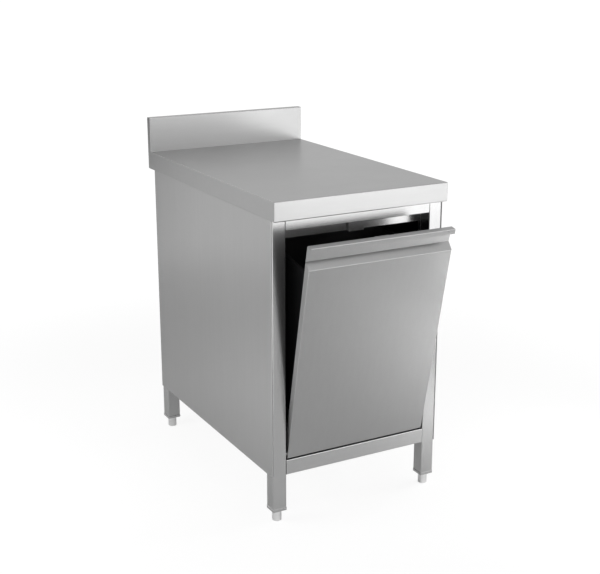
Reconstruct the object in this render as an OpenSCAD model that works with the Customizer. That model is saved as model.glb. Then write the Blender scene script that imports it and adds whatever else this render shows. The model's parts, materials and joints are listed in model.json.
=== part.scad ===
// Stainless steel cabinet with a tilting waste bin behind its door.
// Millimetres. +Z is up and the door faces -Y. The floor is at z = 0.
// The door stands tilted open, as it is when waste is thrown in.

/* [Worktop] */
// Width of the worktop
worktop_w = 500; // [440:10:700]
// Depth of the worktop, front to back
worktop_d = 800; // [600:10:1000]
// Height of the worktop's surface above the floor
worktop_h = 850; // [800:5:950]
// Height of the turned-down edge
edge_h = 50; // [40:1:60]
// Height of the upstand at the back
upstand_h = 100; // [40:5:150]
// Thickness of the upstand, front to back
upstand_d = 20; // [12:1:40]
// Sheet thickness of the worktop
worktop_t = 1.5; // [1:0.1:2]
// Thickness of the board under the sheet
board_t = 18; // [12:1:22]
// How far the side edges return inwards below
side_return = 24; // [10:1:40]
// Distance of each stiffener from the middle
stiffener_x = 115; // [80:5:150]
// Width of a stiffener's crown
stiffener_w = 80; // [40:5:100]

/* [Frame] */
// How far the worktop stands out in front of the legs
front_overhang = 20; // [10:1:40]
// How far the legs stand in from the worktop's back
rear_setback = 43; // [30:1:80]
// Width of the square leg tube
leg_w = 38; // [30:1:45]
// Wall of the leg tube
leg_t = 1.5; // [1:0.1:2.5]
// Corner radius of the leg tube
leg_r = 3; // [2:0.5:5]
// Depth of every rail, front to back or side to side
rail_d = 20; // [15:1:30]
// Height of the top rails
top_rail_h = 29; // [20:1:40]
// Height of the bottom rails
bottom_rail_h = 40; // [25:1:60]
// Underside of the bottom rails above the floor
bottom_rail_z = 130; // [100:5:180]
// Wall of the rails
rail_t = 1.2; // [1:0.1:2]
// Outer corner radius of the rails
rail_r = 1.6; // [1.4:0.1:3]

/* [Feet] */
// Diameter of the foot
foot_d = 24.5; // [20:0.5:32]
// Height of the foot, screwed right in
foot_h = 31; // [20:1:45]
// Diameter of the foot's stud
stud_d = 10; // [8:1:14]
// Length of the foot's stud
stud_l = 45; // [40:1:60]
// Height of the end cap's flange
cap_h = 7; // [4:1:12]
// How far the end cap stands out round the leg
cap_lip = 1; // [0.5:0.5:1.5]
// Length of the end cap inside the leg
spigot_l = 25; // [15:1:35]

/* [Panels] */
// How far the side panels stand in from the worktop's sides
side_inset = 0.5; // [0:0.5:5]
// How far a side panel stands out from the legs
side_proud = 2.5; // [2.5:0.1:5]
// Sheet thickness of the panels
panel_t = 1; // [0.8:0.1:1.2]
// Width of the hems that lie on the legs
hem_w = 16; // [8:1:30]
// Height of the floor panel's turned-down edge
floor_edge_h = 22; // [10:1:35]

/* [Door surround] */
// How far the jambs reach behind the legs' front faces
jamb_d = 50; // [44:1:70]
// Sheet thickness of the jambs and the header
surround_t = 1.2; // [1:0.1:2]
// Underside of the header below the worktop's edge
header_drop = 59.5; // [45:0.5:70]
// How far the header's face lies behind the legs' front faces
header_back = 48; // [42:1:60]
// Distance of the magnetic catch to the right of the middle
catch_x = 15; // [-80:1:80]
// Width of the magnetic catch
catch_w = 45; // [30:1:60]
// Height of the magnetic catch
catch_h = 26; // [18:1:30]
// How far the catch stands out from the header
catch_d = 8; // [6:0.5:10]
// How far the catch hangs below the header
catch_drop = 3; // [0:0.5:8]

/* [Door] */
// Angle at which the door stands open
tilt = 11.7; // [0:0.1:20]
// Angle from closed to fully open
full_tilt = 35; // [30:1:38]
// Gap between the closed door's top and the rail above it
door_top_gap = 2.7; // [2:0.1:8]
// Gap between the closed door's bottom and the rail below it
door_bottom_gap = 5.5; // [5:0.1:8]
// Gap between the door's side and the leg
side_gap = 3.75; // [3:0.25:6]
// Thickness of the door
door_d = 20.9; // [18:0.1:26]
// Sheet thickness of the door's skins
door_t = 1; // [0.8:0.1:1.2]
// How far the closed door stands in front of the legs
door_proud = 1; // [0:0.1:2]
// How far the handle stands in front of the door
handle_proud = 1; // [0:0.1:3]
// Height of the handle's front lip
lip_h = 13.2; // [8:0.1:20]
// Height from the door's top to the bottom of the finger recess
recess_h = 41.6; // [30:0.1:60]
// Height of the slope below the finger recess
slope_h = 17; // [10:0.1:30]
// Radius of the door's rounded side edges
door_r = 2.5; // [1.5:0.1:2.6]

/* [Pivot and stays] */
// Height of the pivot above the door's bottom edge
pivot_up = 9; // [8:0.5:14]
// Diameter of the pivot pins
pivot_d = 8; // [6:0.5:10]
// Length of a pivot bush
bush_l = 22; // [15:1:40]
// Radial running clearance of a pin in its bush
running_gap = 0.08; // [0.05:0.01:0.1]
// Distance of the stop pins behind the pivot
stop_back = 20.5; // [18:0.5:24]
// Height of the stop pins above the pivot
stop_up = 56; // [50:1:70]
// Diameter of the stop pins
stop_d = 8; // [6:0.5:10]
// Thickness of a stay plate
stay_t = 3; // [2:0.5:4]
// Width of metal round the stay plate's slot
stay_rim = 8; // [6:0.5:12]
// Gap between a stay plate and the leg
stay_gap = 18; // [14:1:20]

/* [Bin] */
// Gap between the tray and a stay plate
tray_side_gap = 5; // [3:0.5:30]
// How far the bin's rim lies below the strike bracket
rim_drop = 49.5; // [45:0.5:100]
// Depth of the bin at its rim
bin_d = 245; // [220:1:247]
// Thickness of the bin's wall
bin_t = 3; // [2:0.5:4]
// How much narrower each side of the bin is at its foot
bin_draft = 10; // [5:1:14]
// Corner radius of the bin
bin_r = 24; // [15:1:35]
// Width of the rim beyond the wall
rim_w = 4; // [4:0.5:8]
// Height of the rim's skirt
rim_h = 12; // [8:1:20]
// Height of the bin's foot above the door's bottom edge
tray_up = 22; // [22:1:40]
// Height of the tray's walls
tray_wall_h = 60; // [40:1:90]
// Sheet thickness of the tray, the hook and the strike bracket
tray_t = 1.5; // [1:0.1:2]

/* [Rivets] */
// Diameter of the rivets
rivet_d = 4; // [3:0.5:5]
// Diameter of a rivet's head
rivet_head_d = 8; // [7:0.5:10]
// Thickness of a rivet's head
rivet_head_h = 1.6; // [1.2:0.1:2]

/* [Hidden] */
$fn = 32;

// Colours
steel = [0.66, 0.66, 0.65];
bright_steel = [0.85, 0.85, 0.85];
dark_grey = [0.25, 0.25, 0.26];
black = [0.06, 0.06, 0.065];
white_nylon = [0.88, 0.88, 0.85];
board_brown = [0.62, 0.5, 0.36];
core_grey = [0.7, 0.68, 0.62];

// Small steps and clearances
bend_steps = 4;
cut = 1;
bend_r = 0.6;
hem_r = 0.2;
worktop_bend_r = 1;
fit_gap = 0.15;
seat_gap = 0.3;
rivet_gap = 0.05;
slot_gap = 0.5;

// Places across
leg_out_x = worktop_w / 2 - side_inset - side_proud;
leg_in_x = leg_out_x - leg_w;
leg_x = leg_out_x - leg_w / 2;
panel_out_x = worktop_w / 2 - side_inset;
panel_in_x = panel_out_x - panel_t;
door_w = 2 * (leg_in_x - side_gap);

// Heights of the frame
frame_top = worktop_h - edge_h;
leg_bottom = foot_h + cap_h;
opening_bottom = bottom_rail_z + bottom_rail_h;
opening_top = frame_top - top_rail_h;

// The door, in its own closed frame: y = 0 is its back, z = 0 its bottom edge
pivot_local_y = -door_d / 2;
door_h = opening_top - opening_bottom - door_bottom_gap - door_top_gap;
pivot_z = opening_bottom + door_bottom_gap + pivot_up;
pivot_back = door_d / 2 - door_proud;
handle_bend = bend_r + door_t;
handle_front = door_d + handle_proud;
handle_back = 4;
valley_back = 1.4;

// Depths: the box of the whole object, with the door as it stands, is centred on y = 0
handle_reach = (door_h - handle_bend - pivot_up) * sin(tilt)
  + (handle_front - handle_bend - door_d / 2) * cos(tilt) + handle_bend - pivot_back;
frame_shift = (handle_reach - front_overhang) / 2;
worktop_front_y = frame_shift - worktop_d / 2;
worktop_rear_y = worktop_front_y + worktop_d;
leg_front_y = worktop_front_y + front_overhang;
leg_rear_y = worktop_rear_y - rear_setback;
leg_front_cy = leg_front_y + leg_w / 2;
leg_rear_cy = leg_rear_y - leg_w / 2;
rear_rail_y = leg_rear_y - rail_d;
pivot_y = leg_front_y + pivot_back;

// The worktop's folds
front_return = front_overhang + rail_d + 5;
rear_return = rear_setback + rail_d + 5;
board_top = worktop_h - worktop_t;
board_bottom = board_top - board_t;
stiffener_bottom = frame_top + worktop_t + rail_t;
stiffener_flange = 18;

// The jambs and the catch
jamb_flange = 14;
header_flange = 15;
catch_bottom = frame_top - header_drop - catch_drop;
catch_front_y = leg_front_y + header_back - catch_d;
catch_wall = 2;
catch_low_wall = max(catch_wall, catch_drop);
catch_cover_t = 1;
magnet_gap = 0.1;
strike_gap = 0.3;

// The stays
stop_r = norm([stop_back, stop_up]);
stop_angle = atan2(stop_back, stop_up);
stop_slot_r = stop_d / 2 + slot_gap;
stay_out_x = leg_in_x - stay_gap;
stay_flange_w = 20;
stay_in_x = stay_out_x - stay_t - stay_flange_w;
stay_corner_r = 6;

// The pins in the legs
collar_l = side_gap - 0.75;
pivot_collar_rim = 1.5;
stop_collar_rim = 2;
pin_head_h = 4;
pin_head_rim = 1;
pivot_end_gap = 3;
stop_pin_past = 2;

// The strike bracket on the door's back
strike_w = 40;
strike_face_h = 18;
strike_base_h = 16;
strike_step = 4;
strike_drop = 2.5;
strike_face_z = frame_top - header_drop - opening_bottom - door_bottom_gap - strike_drop;
strike_base_z = strike_face_z - strike_base_h - strike_step;

// The bin, its tray and its hook
bin_front = 2;
bin_back = bin_front + bin_d;
bin_foot = tray_up + tray_t + seat_gap;
rim_up = strike_base_z - rim_drop;
foot_room = 5;
tray_half_w = stay_in_x - tray_side_gap;
wall_half_w = tray_half_w - foot_room + bin_draft;
rim_half_w = wall_half_w + rim_w;
tray_back = bin_back - rim_w - bin_draft + foot_room;
tray_front_h = 70;
hook_t = 1.2;
hook_w = 120;
hook_up = 8;
hook_drop = 26;
hook_rise = 18;
hook_gap = 0.4;
hook_z = rim_up - rim_h - hook_drop;
hook_tip_y = bin_front + rim_w - hook_t - hook_gap;

// Rivet places, each [x, z, thickness held] in the door's frame
stay_rivets = [for (side = [-1, 1], up = [stop_up * 0.55, stop_up * 1.15])
  [side * (stay_in_x + stay_flange_w / 2), up + pivot_up, stay_t]];
tray_rivets = [for (x = [-1, 0, 1])
  [x * tray_half_w * 0.75, tray_up + tray_front_h - rivet_head_d, tray_t]];
hook_rivets = [for (side = [-1, 1]) [side * hook_w * 0.38, hook_z + hook_rise * 0.4, hook_t]];
strike_rivets = [for (side = [-1, 1])
  [catch_x + side * strike_w * 0.3, strike_base_z + strike_base_h / 2, tray_t]];
hopper_rivet_places = concat(stay_rivets, tray_rivets, hook_rivets, strike_rivets);
back_rivet_count = 4;
back_rivet_zs = [for (i = [0:back_rivet_count - 1])
  opening_bottom + 30 + i * (opening_top - opening_bottom - 60) / (back_rivet_count - 1)];

// Bent sheet: the path runs along one face, and the sheet lies to its right
function left_of(h) = [-sin(h), cos(h)];
function heading(a, b) = atan2(b.y - a.y, b.x - a.x);
function wrapped(d) = d > 180 ? d - 360 : d < -180 ? d + 360 : d;
function end_point(p, h, off) = [p + off * left_of(h)];
function bend_points(a, b, c, t, r, off) =
  let (
    h = heading(a, b),
    turn = wrapped(heading(b, c) - h),
    s = sign(turn),
    face_r = turn < 0 ? r + t : r,
    centre = b - face_r * tan(abs(turn) / 2) * [cos(h), sin(h)] + s * face_r * left_of(h)
  )
  [for (k = [0:bend_steps]) centre + left_of(h + turn * k / bend_steps) * (off - s * face_r)];
function face_points(path, t, r, off) = [
  for (i = [0:len(path) - 1]) each
    i == 0 ? end_point(path[0], heading(path[0], path[1]), off)
    : i == len(path) - 1 ? end_point(path[i], heading(path[i - 1], path[i]), off)
    : bend_points(path[i - 1], path[i], path[i + 1], t, r, off)
];
function reversed(points) = [for (i = [len(points) - 1:-1:0]) points[i]];

module sheet_section(path, t, r) {
  polygon(concat(face_points(path, t, r, 0), reversed(face_points(path, t, r, -t))));
}

// A section drawn in y and z, drawn out along x about the middle
module along_x(w) {
  rotate([90, 0, 90]) translate([0, 0, -w / 2]) linear_extrude(w) children();
}

module rounded_rect(w, d, r) {
  square([w - 2 * r, d], center = true);
  square([w, d - 2 * r], center = true);
  for (x = [-1, 1], y = [-1, 1])
    translate([x * (w / 2 - r), y * (d / 2 - r)]) circle(r);
}

module tube_section(w, d, t, r) {
  difference() {
    rounded_rect(w, d, r);
    rounded_rect(w - 2 * t, d - 2 * t, max(r - t, 0.2));
  }
}

module on_side(side) {
  if (side > 0) children();
  else mirror([1, 0, 0]) children();
}

// A cylinder along x from x0 to x1
module rod_x(r, x0, x1, y, z) {
  translate([x0, y, z]) rotate([0, 90, 0]) cylinder(r = r, h = x1 - x0);
}

// Puts the door's own closed frame where the door stands
module hopper_frame() {
  translate([0, pivot_y, pivot_z]) rotate([tilt, 0, 0])
    translate([0, -pivot_local_y, -pivot_up]) children();
}

// Worktop
worktop_path = [
  [worktop_front_y + front_return, frame_top],
  [worktop_front_y, frame_top],
  [worktop_front_y, worktop_h],
  [worktop_rear_y - upstand_d, worktop_h],
  [worktop_rear_y - upstand_d, worktop_h + upstand_h],
  [worktop_rear_y, worktop_h + upstand_h],
  [worktop_rear_y, frame_top],
  [worktop_rear_y - rear_return, frame_top]
];

module worktop_end() {
  polygon(face_points(worktop_path, worktop_t, worktop_bend_r, 0));
}

module worktop_skin() {
  color(steel) {
    along_x(worktop_w) sheet_section(worktop_path, worktop_t, worktop_bend_r);
    for (side = [-1, 1]) on_side(side) {
      translate([(worktop_w - worktop_t) / 2, 0, 0]) along_x(worktop_t) worktop_end();
      translate([worktop_w / 2 - side_return, worktop_front_y + worktop_t, frame_top])
        cube([side_return - worktop_t / 2, worktop_d - 2 * worktop_t, worktop_t]);
    }
  }
}

module worktop_board() {
  w = worktop_w - 2 * (worktop_t + fit_gap);
  front = worktop_t + worktop_bend_r;
  color(board_brown) translate([-w / 2, worktop_front_y + front, board_bottom])
    cube([w, worktop_d - upstand_d - front - worktop_bend_r, board_t]);
}

module worktop_stiffeners() {
  crown = stiffener_w / 2;
  foot = crown + stiffener_flange;
  color(steel)
    for (side = [-1, 1]) translate([side * stiffener_x, 0, 0])
      translate([0, worktop_rear_y - upstand_d - 4, 0]) rotate([90, 0, 0])
        linear_extrude(worktop_d - upstand_d - 8) sheet_section([
          [-foot, board_bottom], [-crown, board_bottom],
          [-crown, stiffener_bottom], [crown, stiffener_bottom],
          [crown, board_bottom], [foot, board_bottom]
        ], rail_t, bend_r);
}

// Legs, with the holes for the pins in front and the rivets behind
module leg(x, y) {
  color(steel) difference() {
    translate([x, y, leg_bottom]) linear_extrude(frame_top - leg_bottom)
      tube_section(leg_w, leg_w, leg_t, leg_r);
    pin_holes();
    rivet_holes();
  }
}

module pin_holes() {
  for (side = [-1, 1]) on_side(side) {
    rod_x(pivot_d / 2 + rivet_gap, leg_in_x - cut, leg_in_x + leg_t + cut, pivot_y, pivot_z);
    rod_x(stop_d / 2 + rivet_gap, leg_in_x - cut, leg_in_x + leg_t + cut,
      pivot_y + stop_back, pivot_z + stop_up);
  }
}

module rivet_holes() {
  for (side = [-1, 1], z = back_rivet_zs)
    translate([side * leg_x, leg_rear_y - leg_t - cut, z]) rotate([-90, 0, 0])
      cylinder(d = rivet_d + 2 * rivet_gap, h = leg_t + panel_t + 2 * cut);
}

module leg_caps() {
  inner = leg_w - 2 * leg_t - 2 * fit_gap;
  color(steel)
    for (x = [-leg_x, leg_x], y = [leg_front_cy, leg_rear_cy])
      translate([x, y, foot_h]) difference() {
        union() {
          linear_extrude(cap_h)
            rounded_rect(leg_w + 2 * cap_lip, leg_w + 2 * cap_lip, leg_r + cap_lip);
          linear_extrude(cap_h + spigot_l) rounded_rect(inner, inner, 1.5);
        }
        translate([0, 0, -cut])
          cylinder(d = stud_d + 2 * running_gap, h = cap_h + spigot_l + 2 * cut);
      }
}

module foot(x, y) {
  r = foot_d / 2;
  stud_r = stud_d / 2;
  chamfer = 1.2;
  top = foot_h + stud_l;
  color(bright_steel) translate([x, y, 0]) rotate_extrude() polygon([
    [0, 0], [r - chamfer, 0], [r, chamfer], [r, foot_h],
    [stud_r, foot_h], [stud_r, top - chamfer], [stud_r - chamfer, top], [0, top]
  ]);
}

// Rails
module rail_along_x(y, z, h) {
  color(steel) translate([0, y + rail_d / 2, z + h / 2])
    along_x(2 * leg_in_x) tube_section(rail_d, h, rail_t, rail_r);
}

module rail_along_y(side, z, h) {
  x = side * (leg_out_x - rail_d / 2);
  color(steel) translate([x, leg_rear_y - leg_w, z + h / 2]) rotate([90, 0, 0])
    linear_extrude(leg_rear_y - leg_front_y - 2 * leg_w) tube_section(rail_d, h, rail_t, rail_r);
}

// Panels
module side_panel(side) {
  h = frame_top - bottom_rail_z;
  color(steel) on_side(side) {
    translate([0, 0, bottom_rail_z]) linear_extrude(h) sheet_section([
      [leg_out_x, leg_rear_y - hem_w], [leg_out_x, leg_rear_y],
      [panel_out_x, leg_rear_y], [panel_out_x, leg_front_y],
      [leg_out_x, leg_front_y], [leg_out_x, leg_front_y + hem_w]
    ], panel_t, hem_r);
    for (z = [bottom_rail_z, frame_top - panel_t])
      translate([leg_out_x, leg_front_y + panel_t + hem_r, z])
        cube([side_proud - panel_t / 2, leg_rear_y - leg_front_y - 2 * (panel_t + hem_r), panel_t]);
  }
}

module back_panel() {
  edge = 1;
  color(steel) difference() {
    translate([-leg_out_x + edge, leg_rear_y, bottom_rail_z])
      cube([2 * (leg_out_x - edge), panel_t, frame_top - bottom_rail_z]);
    rivet_holes();
  }
}

module rivet(grip) {
  r = rivet_head_d / 2;
  crown = r * 0.6;
  rotate_extrude() polygon([
    [0, -grip], [rivet_d / 2, -grip], [rivet_d / 2, 0], [r, 0], [r, rivet_head_h * 0.4],
    [crown, rivet_head_h], [0, rivet_head_h]
  ]);
}

module back_rivets() {
  color(bright_steel)
    for (side = [-1, 1], z = back_rivet_zs)
      translate([side * leg_x, leg_rear_y + panel_t, z]) rotate([-90, 0, 0])
        rivet(leg_t + panel_t);
}

module floor_panel() {
  x = leg_out_x - rail_d;
  y0 = leg_front_y + rail_d;
  y1 = leg_rear_y - rail_d;
  low = opening_bottom - floor_edge_h;
  color(steel) difference() {
    translate([-x, y0, low]) cube([2 * x, y1 - y0, floor_edge_h]);
    translate([-x + panel_t, y0 + panel_t, low - cut])
      cube([2 * (x - panel_t), y1 - y0 - 2 * panel_t, floor_edge_h - panel_t + cut]);
    for (side = [-1, 1]) {
      translate([side * leg_x, leg_front_cy, low - cut])
        leg_notch();
      translate([side * leg_x, leg_rear_cy, low - cut])
        leg_notch();
    }
  }
}

module leg_notch() {
  w = leg_w + 2 * fit_gap;
  translate([-w / 2, -w / 2, 0]) cube([w, w, floor_edge_h + 2 * cut]);
}

// Door surround
module jamb(side) {
  color(steel) on_side(side)
    translate([0, leg_front_y, opening_bottom]) linear_extrude(opening_top - opening_bottom)
      sheet_section([
        [leg_in_x + jamb_flange, leg_w], [leg_in_x, leg_w], [leg_in_x, jamb_d],
        [panel_in_x - surround_t, jamb_d], [panel_in_x - surround_t, jamb_d + jamb_flange]
      ], surround_t, bend_r);
}

module header_strip() {
  color(steel) translate([0, leg_front_y, 0]) along_x(2 * leg_in_x) sheet_section([
    [rail_d, frame_top - header_flange], [rail_d, frame_top],
    [header_back + surround_t, frame_top], [header_back + surround_t, frame_top - header_drop]
  ], surround_t, bend_r);
}

module catch_housing() {
  color(steel) translate([catch_x - catch_w / 2, catch_front_y, catch_bottom]) difference() {
    cube([catch_w, catch_d, catch_h]);
    translate([catch_wall, catch_cover_t, catch_low_wall])
      cube([catch_w - 2 * catch_wall, catch_d, catch_h - catch_wall - catch_low_wall]);
  }
}

// Fixed to the header, behind the housing's closed front
module catch_magnet() {
  side_in = catch_wall + magnet_gap;
  low_in = catch_low_wall + magnet_gap;
  front_in = catch_cover_t + magnet_gap;
  color(dark_grey)
    translate([catch_x - catch_w / 2 + side_in, catch_front_y + front_in, catch_bottom + low_in])
      cube([catch_w - 2 * side_in, catch_d - front_in, catch_h - low_in - side_in]);
}

// Pins fixed in the front legs
module leg_pin(d, collar_rim, end_x, y, z) {
  rod_x(d / 2, end_x, leg_in_x + leg_t + pin_head_h / 2, y, z);
  rod_x(d / 2 + collar_rim, leg_in_x - collar_l, leg_in_x, y, z);
  rod_x(d / 2 + pin_head_rim, leg_in_x + leg_t, leg_in_x + leg_t + pin_head_h, y, z);
}

module pivot_pins() {
  color(bright_steel) for (side = [-1, 1]) on_side(side)
    leg_pin(pivot_d, pivot_collar_rim, door_w / 2 - door_t - bush_l + pivot_end_gap,
      pivot_y, pivot_z);
}

module stop_pins() {
  color(bright_steel) for (side = [-1, 1]) on_side(side)
    leg_pin(stop_d, stop_collar_rim, stay_out_x - stay_t - stop_pin_past,
      pivot_y + stop_back, pivot_z + stop_up);
}

// Door, drawn closed and then tilted
valley_z = door_h - recess_h;
slope_z = valley_z - slope_h;
seam_w = 0.5;
outer_seam = -(door_d + seam_w) / 2;
inner_seam = outer_seam + seam_w;
outer_path = [
  [-handle_front, door_h - lip_h], [-handle_front, door_h], [-handle_back, door_h],
  [-valley_back, valley_z], [door_t - door_d, slope_z], [door_t - door_d, door_t],
  [outer_seam, door_t]
];

// Height on the slope's front face at a depth y
function slope_at(y) = slope_z + (y + door_d) * slope_h / (door_d - valley_back - door_t);

module pivot_holes() {
  for (side = [-1, 1]) on_side(side)
    rod_x(pivot_d / 2 + 1, door_w / 2 - door_t - cut, door_w / 2 + cut, pivot_local_y, pivot_up);
}

// Rounds the door's upright edge that stands at y = edge_y, towards back (1) or front (-1)
module edge_cutters(edge_y, towards, h) {
  for (side = [-1, 1]) on_side(side)
    translate([door_w / 2 - door_r, edge_y - towards * door_r, -cut]) difference() {
      translate([0, towards > 0 ? 0 : -door_r - cut, 0])
        cube([door_r + cut, door_r + cut, h + cut]);
      cylinder(r = door_r, h = 3 * h, center = true);
    }
}

module door_outer_skin() {
  color(steel) hopper_frame() difference() {
    union() {
      along_x(door_w) sheet_section(outer_path, door_t, bend_r);
      for (side = [-1, 1]) on_side(side)
        translate([(door_w - door_t) / 2, 0, 0]) along_x(door_t) polygon([
          [-door_d, bend_r], [-door_d, slope_z], [outer_seam, slope_at(outer_seam)],
          [outer_seam, 0], [bend_r - door_d, 0]
        ]);
    }
    pivot_holes();
    edge_cutters(-door_d, -1, slope_z);
  }
}

module door_inner_skin() {
  back_top = door_h - door_t - 3;
  top_front = -handle_back + door_t / 2;
  color(steel) hopper_frame() difference() {
    union() {
      along_x(door_w) sheet_section([
        [top_front, back_top], [0, back_top], [0, 0], [inner_seam, 0]
      ], door_t, bend_r);
      for (side = [-1, 1]) on_side(side)
        translate([(door_w - door_t) / 2, 0, 0]) along_x(door_t) polygon([
          [-bend_r, 0], [inner_seam, 0], [inner_seam, slope_at(inner_seam) - 2 * door_t],
          [door_t - valley_back, valley_z], [top_front, back_top], [-bend_r, back_top],
          [0, back_top - bend_r], [0, bend_r]
        ]);
    }
    pivot_holes();
    hopper_rivet_holes();
    edge_cutters(0, 1, door_h);
  }
}

module hopper_rivet_holes() {
  for (place = hopper_rivet_places)
    translate([place.x, cut - 3, place.y]) rotate([-90, 0, 0])
      cylinder(d = rivet_d + 2 * rivet_gap, h = 10);
}

module hopper_rivets() {
  color(bright_steel) hopper_frame()
    for (place = hopper_rivet_places)
      translate([place.x, place.z, place.y]) rotate([-90, 0, 0])
        rivet(place.z + door_t);
}

bush_top = 2 * pivot_up + 2;
in_bend = door_t + bend_r;

module door_core() {
  color(core_grey) hopper_frame()
    translate([-door_w / 2 + door_t, door_t - door_d, bush_top])
      cube([door_w - 2 * door_t, door_d - 2 * door_t, slope_z - 1 - bush_top]);
}

module pivot_bushes() {
  color(white_nylon) hopper_frame() for (side = [-1, 1]) on_side(side) difference() {
    translate([door_w / 2 - door_t - bush_l, in_bend - door_d, in_bend])
      cube([bush_l, door_d - 2 * in_bend, bush_top - in_bend]);
    rod_x(pivot_d / 2 + running_gap, door_w / 2 - door_t - bush_l - cut, door_w / 2,
      pivot_local_y, pivot_up);
  }
}

// The stop pin's centre in the door's frame, with the door open by an angle
function stop_at(open) = [
  pivot_local_y + stop_r * sin(stop_angle + open),
  pivot_up + stop_r * cos(stop_angle + open)
];

// The slot's outline: a round end, the outer arc, the other end and the inner arc
slot_steps = 8;
function around(centre, r, angle) = centre + r * [sin(angle), cos(angle)];
function slot_end(open, start) = [
  for (k = [0:slot_steps])
    around(stop_at(open), stop_slot_r, stop_angle + open + start + 180 * k / slot_steps)
];
function slot_arc(r, steps) = [
  for (k = steps)
    around([pivot_local_y, pivot_up], r, stop_angle + full_tilt * k / slot_steps)
];
slot_outline = concat(
  slot_end(0, 180), slot_arc(stop_r + stop_slot_r, [1:slot_steps - 1]),
  slot_end(full_tilt, 0), slot_arc(stop_r - stop_slot_r, [slot_steps - 1:-1:1])
);

module stay_outline(back, low, high, r) {
  difference() {
    union() {
      translate([0, low]) square([back - r, high - low]);
      translate([0, low + r]) square([back, high - low - 2 * r]);
      for (z = [low + r, high - r]) translate([back - r, z]) circle(r);
    }
    polygon(slot_outline);
  }
}

module stay_plate(side) {
  far = stop_at(full_tilt);
  back = far.x + stop_slot_r + stay_rim;
  low = far.y - stop_slot_r - stay_rim;
  high = stop_at(0).y + stop_slot_r + stay_rim;
  color(steel) hopper_frame() difference() {
    on_side(side) union() {
      translate([stay_out_x - stay_t / 2, 0, 0]) along_x(stay_t)
        stay_outline(back, low, high, stay_corner_r);
      translate([stay_in_x, 0, low])
        cube([stay_flange_w + stay_t, stay_t, high - low]);
    }
    hopper_rivet_holes();
  }
}

module bin_tray() {
  color(steel) hopper_frame() difference() {
    union() {
      difference() {
        translate([-tray_half_w, 0, tray_up]) cube([2 * tray_half_w, tray_back, tray_wall_h]);
        translate([-tray_half_w + tray_t, tray_t, tray_up + tray_t])
          cube([2 * (tray_half_w - tray_t), tray_back - 2 * tray_t, tray_wall_h]);
      }
      translate([-tray_half_w, 0, tray_up]) cube([2 * tray_half_w, tray_t, tray_front_h]);
    }
    hopper_rivet_holes();
  }
}

module bin_hook() {
  color(steel) hopper_frame() difference() {
    along_x(hook_w) sheet_section([
      [0, hook_z], [0, hook_z + hook_rise], [hook_tip_y, hook_z + hook_rise],
      [hook_tip_y, rim_up - rim_h + hook_up]
    ], hook_t, 0.1);
    hopper_rivet_holes();
  }
}

module strike_bracket() {
  depth = catch_front_y - strike_gap - (leg_front_y - door_proud + door_d);
  color(steel) hopper_frame() difference() {
    translate([catch_x, 0, 0]) along_x(strike_w) sheet_section([
      [0, strike_base_z], [0, strike_base_z + strike_base_h + strike_step],
      [depth - tray_t, strike_base_z + strike_base_h + strike_step],
      [depth - tray_t, strike_face_z + strike_face_h]
    ], tray_t, bend_r);
    hopper_rivet_holes();
  }
}

// The bin: a tapered tub with a turned-down rim
module bin_slab(inset, z, h) {
  front = bin_front + rim_w + inset;
  taper = bin_draft * (rim_up - z) / (rim_up - bin_foot);
  back = bin_back - rim_w - inset - taper;
  half = wall_half_w - inset - taper;
  translate([0, (front + back) / 2, z]) linear_extrude(h)
    rounded_rect(2 * half, back - front, bin_r - inset);
}

module rim_slab(inset, z, h) {
  translate([0, (bin_front + bin_back) / 2, z]) linear_extrude(h)
    rounded_rect(2 * (rim_half_w - inset), bin_d - 2 * inset, bin_r + rim_w - inset);
}

module bin() {
  skin = 0.1;
  skirt_t = 2;
  color(black) hopper_frame() difference() {
    union() {
      hull() {
        bin_slab(0, bin_foot, skin);
        bin_slab(0, rim_up - skin, skin);
      }
      difference() {
        rim_slab(0, rim_up - rim_h, rim_h);
        rim_slab(skirt_t, rim_up - rim_h - cut, rim_h - bin_t + cut);
      }
    }
    hull() {
      bin_slab(bin_t, bin_foot + bin_t, skin);
      bin_slab(bin_t, rim_up + cut, skin);
    }
  }
}

worktop_skin();
worktop_board();
worktop_stiffeners();
leg(-leg_x, leg_front_cy);  // leg_front_left
leg(leg_x, leg_front_cy);  // leg_front_right
leg(-leg_x, leg_rear_cy);  // leg_rear_left
leg(leg_x, leg_rear_cy);  // leg_rear_right
leg_caps();
foot(-leg_x, leg_front_cy);  // foot_front_left
foot(leg_x, leg_front_cy);  // foot_front_right
foot(-leg_x, leg_rear_cy);  // foot_rear_left
foot(leg_x, leg_rear_cy);  // foot_rear_right
rail_along_x(leg_front_y, opening_top, top_rail_h);  // top_rail_front
rail_along_x(rear_rail_y, opening_top, top_rail_h);  // top_rail_rear
rail_along_y(-1, opening_top, top_rail_h);  // top_rail_left
rail_along_y(1, opening_top, top_rail_h);  // top_rail_right
rail_along_x(leg_front_y, bottom_rail_z, bottom_rail_h);  // bottom_rail_front
rail_along_x(rear_rail_y, bottom_rail_z, bottom_rail_h);  // bottom_rail_rear
rail_along_y(-1, bottom_rail_z, bottom_rail_h);  // bottom_rail_left
rail_along_y(1, bottom_rail_z, bottom_rail_h);  // bottom_rail_right
side_panel(-1);  // side_panel_left
side_panel(1);  // side_panel_right
back_panel();
back_rivets();
floor_panel();
jamb(-1);  // jamb_left
jamb(1);  // jamb_right
header_strip();
catch_housing();
catch_magnet();
pivot_pins();
stop_pins();
door_outer_skin();
door_inner_skin();
door_core();
pivot_bushes();
stay_plate(-1);  // stay_plate_left
stay_plate(1);  // stay_plate_right
bin_tray();
bin_hook();
strike_bracket();
hopper_rivets();
bin();
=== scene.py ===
"""Dresses the stainless waste bin cabinet: folded sheet, square tube, tilting door, black bin."""

import json
import logging
import math
from collections.abc import Callable, Iterable, Sequence
from dataclasses import dataclass, field
from enum import Enum
from functools import cached_property

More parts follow.
